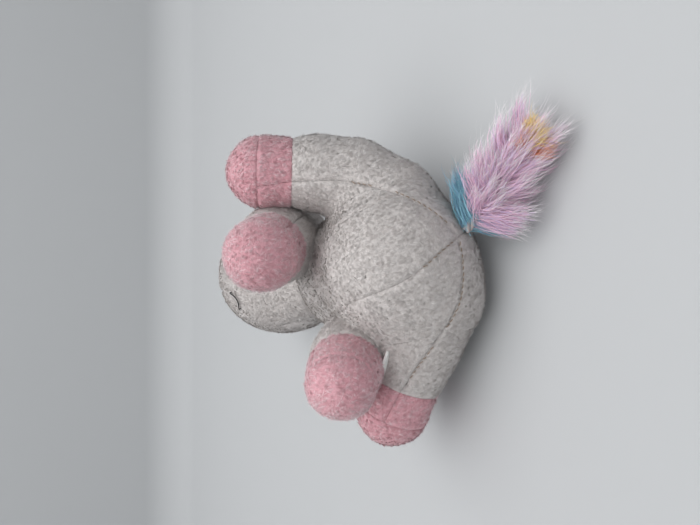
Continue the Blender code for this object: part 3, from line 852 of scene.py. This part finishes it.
def make_head():
    covers = ("head_side_left", "head_side_right", "head_gusset", "neck_cover", "muzzle_cover")
    points, triangles = skin_near(head_field, node_points(*covers))

    def left(p):
        return (p - HEAD)[:, 0] - 8 * MM

    def right(p):
        return -(p - HEAD)[:, 0] - 8 * MM

    def cheek(p):
        """The seam that runs down the side of the jaw to the neck."""
        return HEAD[0] - p[:, 0] - 20.2 * MM - 0.31 * (p[:, 1] - 68 * MM)

    def jaw_only(p):
        near, far = (p[:, 1] - 58 * MM) / (4 * MM), (84 * MM - p[:, 1]) / (5 * MM)
        return np.clip(near, 0.0, 1.0) * np.clip(far, 0.0, 1.0)

    def far_side(p):
        return np.clip((p - HEAD)[:, 1] / (6 * MM), 0.0, 1.0)

    def collar(p):
        return (p - HEAD)[:, 1] + 25 * MM

    def muzzle(p):
        return ellipsoid(p, MUZZLE, MUZZLE_RADII * 1.16)

    seams = [(left, far_side), (right, far_side), (muzzle, everywhere), (cheek, jaw_only)]
    points, triangles = seam_cuts(points, triangles, seams)
    points, triangles = divide(points, triangles, collar)
    middle = points[triangles].mean(1)
    points = points - slope(head_field, points) * (groove(points, seams) * SEAM_DEEP)[:, None]
    below = collar(middle) < 0
    nose = muzzle(middle) < 0
    rest = ~below & ~nose
    choices = {
        "head_side_left": rest & (left(middle) > 0),
        "head_side_right": rest & (right(middle) > 0),
        "head_gusset": rest & (left(middle) <= 0) & (right(middle) <= 0),
        "neck_cover": below,
        "muzzle_cover": nose,
    }

    def nap(p):
        return np.broadcast_to(np.array((0.0, -1.0, -0.2)), p.shape)

    inside = {"head_gusset": "head_fill", "muzzle_cover": "muzzle_fill"}
    for i, (part, chosen) in enumerate(choices.items()):
        some, tris = part_of(points, triangles, chosen)
        cover, fur = cover_with_pile(part, some, tris, head_field, nap, "grey_plush", seams, 60 + i)
        if part in inside:
            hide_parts(inside[part])
        for thing in (cover, fur):
            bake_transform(thing)


# ---------------------------------------------------------------- threads, stitches and the face


def tube(name, paths, radius, material, sides=6):
    """Closed round threads along paths of points, in one mesh."""
    points, faces = [], []
    for path in paths:
        along = unit(np.gradient(path, axis=0))
        up = np.array((0.31, 0.22, 0.93))
        first = unit(np.cross(along, up))
        second = np.cross(along, first)
        start = len(points)
        for place, one, two in zip(path, first, second):
            for k in range(sides):
                angle = 2 * pi * k / sides
                points.append(place + (one * cos(angle) + two * sin(angle)) * radius)
        faces += grid_faces(len(path), sides, start=start)
        for ring, turn in ((0, 1), (len(path) - 1, -1)):
            loop = [start + ring * sides + k for k in range(sides)][::turn]
            faces += [(loop[0], loop[k + 1], loop[k]) for k in range(1, sides - 1)]
    return mesh_object(name, np.array(points), np.array(faces), material)


def over_surface(field, places, lift):
    """A smooth path through places, laid a little above the zero level of a field."""
    places = np.asarray(places, float)
    share = np.linspace(0, len(places) - 1, 6 * (len(places) - 1) + 1)
    at = np.minimum(share.astype(int), len(places) - 2)
    t = (share - at)[:, None]
    p = [places[np.clip(at + k, 0, len(places) - 1)] for k in (-1, 0, 1, 2)]
    smooth = p[1] + 0.5 * t * (p[2] - p[0] + t * (2 * p[0] - 5 * p[1] + 4 * p[2] - p[3]))
    smooth = smooth + 0.5 * t**3 * (3 * (p[1] - p[2]) + p[3] - p[0])
    lying = settle(field, smooth, 6)
    return lying + slope(field, lying) * lift


def follow_seam(field, seam, start, toward, length, step=0.25 * MM):
    """Walks along a seam on the zero level of a field."""
    place = np.array(start, float)[None]
    way = unit(np.array(toward, float))
    path = []
    for _ in range(int(length / step)):
        for _ in range(4):
            place = place - slope(field, place) * field(place)[:, None]
            place = place - slope(seam, place) * seam(place)[:, None]
        path.append(place[0])
        ahead = np.cross(slope(field, place)[0], slope(seam, place)[0])
        way = unit(ahead * np.sign(ahead @ way))
        place = place + way * step
    return np.array(path)


def stitches(name, field, path):
    """A row of short sewn stitches along a seam, each a little askew."""
    count = int((len(path) - 1) * np.linalg.norm(path[1] - path[0]) / STITCH_EVERY)
    pieces = []
    out = slope(field, path)
    along = unit(np.gradient(path, axis=0))
    across = np.cross(along, out)
    for i in range(count):
        at = int((i + 0.5) / count * (len(path) - 1))
        lean = stitch_draw.normal() * 0.12
        half = STITCH_LONG / 2 * (0.85 + 0.3 * stitch_draw.random())
        share = np.linspace(-1, 1, 7)[:, None]
        bow = (1 - share**2) * STITCH_BOW + STITCH_LIFT
        pieces.append(path[at] + (along[at] + across[at] * (lean + 0.25)) * share * half + out[at] * bow)
    row = tube(name, pieces, THREAD_R, TAN_THREAD, 5)
    return row


def stitch_seams():
    """Where the seams were closed by hand: a thigh down to the tail, the belly, and out along the far leg."""
    near, far = LEGS[0], LEGS[1]
    near_field, far_field = leg_field(near), leg_field(far)
    rows = (
        ("thigh", None, torso_field, side_seam, (0.0237, -0.0079, 0.0374), (-0.5, -0.6, -0.5), 21 * MM),
        ("rump", None, torso_field, side_seam, (0.0070, -0.0224, 0.0221), (-1.0, 0.0, 0.0), 29 * MM),
        ("belly", None, torso_field, centre_seam, (0.0069, -0.0227, 0.0244), (-0.4, 0.2, 0.8), 15 * MM),
        ("leg", near, near_field, side_seam, (0.0267, -0.0007, 0.0415), (0.0, 0.6, 0.8), 8 * MM),
        ("far_leg", far, far_field, side_seam, (-0.0266, -0.0130, 0.0252), (-1.0, 0.4, 0.2), 15 * MM),
    )
    for name, leg, field, seam, start, toward, length in rows:
        row = stitches(name + "_stitches", field, follow_seam(field, seam, start, toward, length))
        if leg:
            ride_leg(row)
        else:
            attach(row, "torso")


def mirrored(places):
    """The same places on the other side of the head."""
    return [(2 * HEAD[0] - x, y, z) for x, y, z in places]


def make_face():
    eye = [
        (-0.0219, 0.0909, 0.0562),
        (-0.0193, 0.0886, 0.0576),
        (-0.0172, 0.0883, 0.0585),
        (-0.0154, 0.0896, 0.0593),
        (-0.0140, 0.0920, 0.0600),
    ]
    nostril = [(-0.0029, 0.0795, 0.0610), (-0.0020, 0.0790, 0.0613), (-0.0010, 0.0797, 0.0608)]
    mouth = [(-0.0098, 0.0740, 0.0563), (-0.0080, 0.0725, 0.0550), (-0.0055, 0.0717, 0.0542)]
    mouth += mirrored(mouth[:2])[::-1]
    rows = (
        ("eye_right", eye, 0.28 * MM, 1.0 * MM),
        ("eye_left", mirrored(eye), 0.28 * MM, 1.0 * MM),
        ("nostril_left", nostril, 0.26 * MM, 0.9 * MM),
        ("nostril_right", mirrored(nostril), 0.26 * MM, 0.9 * MM),
        ("mouth_stitch", mouth, 0.26 * MM, 0.9 * MM),
    )
    for name, places, radius, lift in rows:
        path = over_surface(head_field, places, lift)
        ends = path[[0, -1]] - slope(head_field, path[[0, -1]]) * (lift + 0.5 * MM)
        path = np.concatenate([ends[:1], path, ends[1:]])
        line = tube(name + "_thread", [path], radius, BLACK_THREAD, 8)
        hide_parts(name)
        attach(line, "head")


def make_horn():
    """A soft cone wound with gold thread, which pinches it into a spiral."""
    way = unit((0.0, cos(HORN_RISE), sin(HORN_RISE)))
    foot = HEAD + way * (HEAD_R - 1.4 * MM)
    length = HORN_LENGTH + 1.0 * MM
    one = unit(np.cross(way, (0.0, 0.0, 1.0)))
    two = np.cross(one, way)

    def plain_radius(share):
        return HORN_R * (1 - share) ** 0.85 + 0.9 * MM * (1 - share)

    rings, sides = 90, 36
    points = []
    for i in range(rings):
        share = i / (rings - 1)
        for k in range(sides):
            angle = 2 * pi * k / sides
            turn = (share * HORN_TURNS - angle / (2 * pi)) % 1.0
            pinch = np.exp(-((min(turn, 1 - turn) / 0.16) ** 2))
            radius = max(plain_radius(share) * (1.02 - 0.16 * pinch), 0.25 * MM)
            if i == rings - 1:
                radius = 0.0
            points.append(foot + way * length * share + (one * cos(angle) + two * sin(angle)) * radius)
    faces = [face[::-1] for face in grid_faces(rings, sides)]
    cover = mesh_object("horn_cloth_cover", np.array(points), np.array(faces), HORN_CLOTH)
    merge = cover.modifiers.new("weld", "WELD")
    merge.merge_threshold = 0.01 * MM
    path = []
    for share in np.linspace(0.02, 0.97, 150):
        angle = share * HORN_TURNS * 2 * pi
        radius = plain_radius(share) * 0.86 + 0.22 * MM
        path.append(foot + way * length * share + (one * cos(angle) + two * sin(angle)) * radius)
    thread = tube("horn_gold_thread", [np.array(path)], 0.36 * MM, GOLD_THREAD, 8)
    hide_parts("horn_cover")
    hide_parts("horn_fill")
    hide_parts("horn_thread")
    for thing, slot in ((cover, "horn_cloth"), (thread, "gold_thread")):
        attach(thing, "head")


def make_ear(name, side):
    """A small leaf of two cloths, dished a little on its pink side."""
    back, lining = node_points(name + "_back"), node_points(name + "_lining")
    box = np.concatenate([back, lining])
    middle = (box.min(0) + box.max(0)) / 2
    middle[2] = (back[:, 2].max() + lining[:, 2].min()) / 2
    way = unit((side * sin(EAR_SPLAY), cos(EAR_SPLAY), 0.0))
    across = np.array((way[1], -way[0], 0.0))
    up = np.array((0.0, 0.0, 1.0))

    def local(p):
        q = p - middle
        return np.stack([q @ across, q @ way, q @ up], 1)

    leaf = [np.array(place) * MM for place in ((0, -8.5, 0), (0, -2.0, 0), (0, 3.5, 0), (0, 7.8, 0))]
    wide = [3.6 * MM, 5.6 * MM, 4.4 * MM, 0.9 * MM]

    def field(p):
        q = local(p)
        d = chain(q * np.array((1.0, 1.0, 2.9)), leaf, wide, 4 * MM)
        dish = ellipsoid(q, np.array((0.0, 1.0, 3.6)) * MM, np.array((4.2, 8.0, 3.0)) * MM)
        return -joined(-d, dish, 0.8 * MM)

    points, triangles = skin_near(field, box, 4 * MM, 0.5 * MM)

    def rim(p):
        return local(p)[:, 2] + 0.5 * MM

    def nap(p):
        return np.broadcast_to(way, p.shape)

    points, triangles = divide(points, triangles, rim)
    top = rim(points[triangles].mean(1)) > 0
    kinds = ((name + "_back", ~top, GREY_CLOTH, GREY_PILE), (name + "_lining", top, PINK_CLOTH, PINK_PILE))
    for i, (part, chosen, cloth, fibres) in enumerate(kinds):
        some, tris = part_of(points, triangles, chosen)
        cover = mesh_object(part + "_cloth", some, tris, cloth)
        thicken(cover, 0.5 * MM)
        fur = pile(part + "_pile", some, tris, field, nap, fibres, long=0.8 * MM, seed=80 + i)
        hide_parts(part)
        for thing in (cover, fur):
            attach(thing, name)


# ---------------------------------------------------------------- long fur


def strands(name, roots, tips, belly, colours, half, steps, draw, curl, pale_tips):
    """Long fibres from roots to tips: bowed by belly, waved by curl in mm, never below the floor."""
    count = len(roots)
    t = np.linspace(0, 1, steps)[None, :, None]
    middle = roots + (tips - roots) * 0.45 + belly
    paths = roots[:, None] * (1 - t) ** 2 + middle[:, None] * 2 * t * (1 - t) + tips[:, None] * t**2
    phase = draw.random((count, 1, 3)) * 2 * pi
    waves = 1.2 + 1.6 * draw.random((count, 1, 1))
    paths = paths + np.sin(t * waves * pi + phase) * t * curl * MM
    floor = 0.5 * MM + 0.8 * MM * draw.random((count, 1))
    paths[:, :, 2] = np.maximum(paths[:, :, 2], floor * np.minimum(t[:, :, 0] * 3, 1.0))
    way = unit(tips - roots)
    sides = unit(np.cross(way, draw.normal(size=roots.shape)) + 1e-9)
    widths = half * (0.7 + 0.6 * draw.random(count))
    materials = [FUR[c] for c in colours]
    n = steps - 1
    faces_each = 2 * (n - 1) + 1
    choice = draw.choice(len(colours) - int(pale_tips), count)
    slots = np.repeat(choice[:, None], faces_each, 1)
    if pale_tips:
        slots[:, -3:] = len(colours) - 1
    return ribbons(name, paths, widths, sides, materials, slots)


def tail_axes():
    """The tail's length, and unit vectors along it, across it and up from it."""
    axis = unit(TAIL_TIP - TAIL_ROOT)
    flat = unit(np.cross(axis, (0.0, 0.0, 1.0)))
    return np.linalg.norm(TAIL_TIP - TAIL_ROOT), axis, flat, np.cross(flat, axis)


def tail_fur(name, node, zones, count, seed):
    """Clumps of fur round the tail's strip.

    A zone is where it starts and ends along the strip and round it, how far its fur spreads, how long that
    fur is, its share of the count, and its colours, with white last where the tips are pale.
    """
    draw = np.random.default_rng(seed)
    long, axis, flat, up = tail_axes()
    made = []
    for number, (start, end, turn_from, turn_to, spread, reach, share, colours) in enumerate(zones):
        clumps = max(int(count * share / 42), 3)
        at = start + (end - start) * (np.arange(clumps) + draw.random(clumps)) / clumps
        angle = turn_from + (turn_to - turn_from) * draw.random(clumps)
        out = flat * np.cos(angle)[:, None] + up * np.sin(angle)[:, None]
        root = TAIL_ROOT + axis * (at * long)[:, None] + out * 1.2 * MM
        far = reach * MM * (0.70 + 0.6 * draw.random(clumps))
        wide = spread * MM * (0.55 + 0.6 * draw.random(clumps))
        droop = np.array((0.0, 0.0, -1.0)) * (0.12 * wide * (1 + np.cos(angle)))[:, None]
        tip = root + axis * far[:, None] + out * wide[:, None] + droop
        per = int(count * share / clumps * (1.0))
        which = np.repeat(np.arange(clumps), per)
        n = len(which)
        roots = root[which] + draw.normal(size=(n, 3)) * 1.3 * MM
        tips = tip[which] + draw.normal(size=(n, 3)) * np.array((1.5, 1.5, 1.1)) * MM
        tips = roots + (tips - roots) * (0.72 + 0.38 * draw.random(n))[:, None]
        bow = out[which] * (wide[which] * 0.55)[:, None] + draw.normal(size=(n, 3)) * 0.5 * MM
        half = 0.075 * MM * 1.0
        pale = colours[-1] == "white"
        made.append(strands(f"{name}_{number}", roots, tips, bow, colours, half, 7, draw, 0.7, pale))
    for thing in made:
        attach(thing, "tail")
    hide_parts(node)


def make_tail():
    """Root to tip: teal and blue first, then long rose and lilac with pale tips, and gold near the end."""
    full = (-pi, pi)
    pinks = ("rose", "rose", "lilac", "white")
    tail_fur(
        "tail_aqua_fur",
        "tail_aqua",
        [
            (0.00, 0.16, 0.76 * pi, 1.10 * pi, 13.0, 9.0, 0.60, ("aqua", "aqua", "blue")),
            (0.05, 0.14, -0.50 * pi, -0.25 * pi, 13.0, 2.0, 0.14, ("blue", "aqua", "white")),
            (0.02, 0.20, 1.05 * pi, 1.45 * pi, 12.0, 3.0, 0.26, ("aqua", "blue")),
        ],
        1500,
        21,
    )
    tail_fur(
        "tail_rose_fur",
        "tail_rose",
        [
            (0.15, 0.42, *full, 11.5, 7.0, 0.38, pinks),
            (0.35, 0.72, *full, 10.5, 10.0, 0.34, pinks),
            (0.65, 0.95, *full, 7.5, 11.0, 0.20, pinks),
            (0.10, 0.22, -0.45 * pi, -0.05 * pi, 12.0, 4.0, 0.08, ("lilac", "rose", "white")),
        ],
        5200,
        22,
    )
    tail_fur(
        "tail_gold_fur",
        "tail_gold",
        [
            (0.90, 1.00, 0.0 * pi, 0.55 * pi, 7.5, 3.0, 0.42, ("gold", "gold")),
            (0.80, 0.88, 0.0 * pi, 0.50 * pi, 7.5, 2.5, 0.23, ("orange", "orange")),
            (0.70, 0.98, *full, 7.5, 9.0, 0.35, pinks),
        ],
        1000,
        23,
    )
    long, axis, flat, up = tail_axes()
    start = TAIL_ROOT - axis * 1.6 * MM
    share = np.linspace(0, 1, 60)[:, None]
    core = []
    for k in range(3):
        angle = share * 9 * pi + k * 2 * pi / 3
        ring = (flat * np.cos(angle) + up * np.sin(angle)) * (0.85 - 0.4 * share) * MM
        core.append(start + axis * share * (long + 1 * MM) + ring)
    strip = tube("tail_strip", core, 0.62 * MM, [BACKING], 8)
    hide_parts("tail_core")
    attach(strip, "tail")


def make_mane():
    """Four tufts down the back of the head, pressed flat under it, and a forelock over the brow."""
    for i, colour in enumerate(("rose", "lilac", "aqua", "gold")):
        node = "mane_" + colour
        pale = i < 2
        colours = (colour, "white") if pale else (colour,)
        draw = np.random.default_rng(31 + i)
        box = node_points(node) - HEAD
        angles = np.arctan2(box[:, 2], box[:, 1])
        low, high = angles.min(), angles.max()
        n = 1000
        angle = low + (high - low) * draw.random(n)
        aside = (draw.random(n) * 2 - 1) * 7.0 * MM
        radius = np.sqrt((HEAD_R - 1.5 * MM) ** 2 - aside**2)
        out = np.stack([aside / HEAD_R, np.cos(angle), np.sin(angle)], 1)
        along = np.stack([np.zeros(n), np.sin(angle), -np.cos(angle)], 1)
        roots = HEAD + np.stack([aside, np.cos(angle) * radius, np.sin(angle) * radius], 1)
        spread = out * 3.6 * MM + along * 6.0 * MM + np.array((1.0, 0.0, 0.0)) * (aside * 0.35)[:, None]
        clump = 1.3 * MM * swirl(roots, 2.0 * MM, 41 + i)
        tips = roots + spread * (0.6 + 0.6 * draw.random(n))[:, None] + clump
        fur = strands(node + "_fur", roots, tips, out * 1.5 * MM, colours, 0.11 * MM, 6, draw, 0.5, pale)
        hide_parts(node)
        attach(fur, "head")
    draw = np.random.default_rng(37)
    box = node_points("forelock")
    centre = (box.min(0) + box.max(0)) / 2
    n = 900
    roots = centre + draw.normal(size=(n, 3)) * np.array((2.4, 1.6, 1.8)) * MM
    roots = settle(head_form, roots, 4)
    out = slope(head_form, roots)
    lay = np.array((0.25, 0.75, -0.65)) + 0.5 * swirl(roots, 2.0 * MM, 47)
    tips = roots + lay * 7.0 * MM * (0.6 + 0.5 * draw.random(n))[:, None] + out * 1.2 * MM
    colours = ("rose", "lilac", "white")
    fur = strands("forelock_fur", roots, tips, out * 2.0 * MM, colours, 0.11 * MM, 6, draw, 0.5, True)
    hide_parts("forelock")
    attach(fur, "head")


def make_label():
    """A narrow satin loop sewn into the far leg's seam, its cut ends inside the leg."""
    box = node_points("care_label")
    middle = box.mean(0)
    leg = LEGS[1]
    _, _, (along, up, flat) = np.linalg.svd(box - middle)
    field = leg_field(leg)
    out = slope(field, middle[None])[0]
    up = up * np.sign(up @ out)
    foot = middle + np.array((2.0, 2.6, 0.6)) * MM
    foot = settle(field, foot[None], 6)[0] - up * 0.2 * MM
    half = LABEL_WIDE / 2
    profile = []
    straight = 0.42
    for share in np.linspace(0, 1, 41):
        up_share = min(share, 1 - share)
        side = -1 if share < 0.5 else 1
        if up_share < straight:
            level = LABEL_FOOT + up_share / straight * (LABEL_TOP - LABEL_FOOT)
            profile.append((side * LABEL_ROUND * (0.55 + 0.45 * min(up_share * 5, 1)), level))
        else:
            turn = (share - straight) / (1 - 2 * straight) * pi
            profile.append((-LABEL_ROUND * cos(turn), LABEL_TOP + LABEL_ROUND * sin(turn)))
    points = []
    for x in np.linspace(-half, half, 25):
        for across, level in profile:
            wave = 0.18 * MM * sin(x / half * 2.2 + 0.5) * max(level, 0) / LABEL_TOP
            points.append(foot + along * x + flat * (across + wave) + up * level)
    faces = grid_faces(25, len(profile), ring=False)
    label = mesh_object("care_label_satin", np.array(points), np.array(faces), SATIN)
    thicken(label, 0.12 * MM)
    label.modifiers["thickness"].offset = 0.0
    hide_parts("care_label")
    ride_leg(label)


# ---------------------------------------------------------------- room, light and camera


def make_room():
    """A pale floor that turns up into a wall, well behind the toy."""
    profile = [(-1.2, 0.0), (WALL_AT - 0.04, 0.0)]
    for i in range(1, 9):
        angle = pi / 2 * i / 8
        profile.append((WALL_AT - 0.04 + 0.04 * sin(angle), 0.04 - 0.04 * cos(angle)))
    profile.append((WALL_AT, 1.4))
    points = np.array([(x, y, z) for y, z in profile for x in (-2.6, 2.6)])
    faces = np.array([(2 * i, 2 * i + 1, 2 * i + 3, 2 * i + 2) for i in range(len(profile) - 1)])
    made, shader = new_material("paper", (0.52, 0.53, 0.54), 0.9)
    shader.inputs["Specular IOR Level"].default_value = 0.1
    room = mesh_object("room", points, faces, made)


def make_lights():
    world = bpy.data.worlds.new("studio")
    bpy.context.scene.world = world
    world.use_nodes = True
    world.node_tree.nodes["Background"].inputs["Color"].default_value = (0.93, 0.97, 1.0, 1.0)
    world.node_tree.nodes["Background"].inputs["Strength"].default_value = 0.26
    for name, place, aim, size, power in (
        ("overhead", (0.04, 0.10, 0.95), (0.0, 0.05, 0.0), 1.7, 15.6),
        ("front_fill", (-0.12, -0.95, 0.42), (0.0, 0.03, 0.03), 0.9, 1.6),
    ):
        light = bpy.data.lights.new(name, "AREA")
        light.shape = "DISK"
        light.size = size
        light.energy = power
        lamp = bpy.data.objects.new(name, light)
        bpy.context.scene.collection.objects.link(lamp)
        lamp.location = place
        lamp.rotation_mode = "QUATERNION"
        lamp.rotation_quaternion = (Vector(aim) - Vector(place)).to_track_quat("-Z", "Y")


def make_camera():
    """Looks down at the toy from the side of its rump, rolled so that up is to the left."""
    data = bpy.data.cameras.new("camera")
    data.sensor_width = 36.0
    data.lens = CAMERA_LENS
    camera = bpy.data.objects.new("camera", data)
    bpy.context.scene.collection.objects.link(camera)
    forward = Vector((0.0, cos(CAMERA_PITCH), -sin(CAMERA_PITCH)))
    up = Vector((0.0, sin(CAMERA_PITCH), cos(CAMERA_PITCH)))
    turn = Matrix((-up, Vector((1.0, 0.0, 0.0)), -forward)).transposed().to_4x4()
    camera.matrix_world = Matrix.Translation(CAMERA_AT) @ turn
    data.clip_start = 0.005
    bpy.context.scene.camera = camera


make_camera()
make_room()
make_lights()
for number, leg in enumerate(LEGS):
    make_leg(leg, number)
make_torso()
make_head()
stitch_seams()
make_face()
make_horn()
make_ear("ear_left", 1)
make_ear("ear_right", -1)
make_mane()
make_tail()
make_label()
bpy.context.scene.view_settings.view_transform = "Standard"
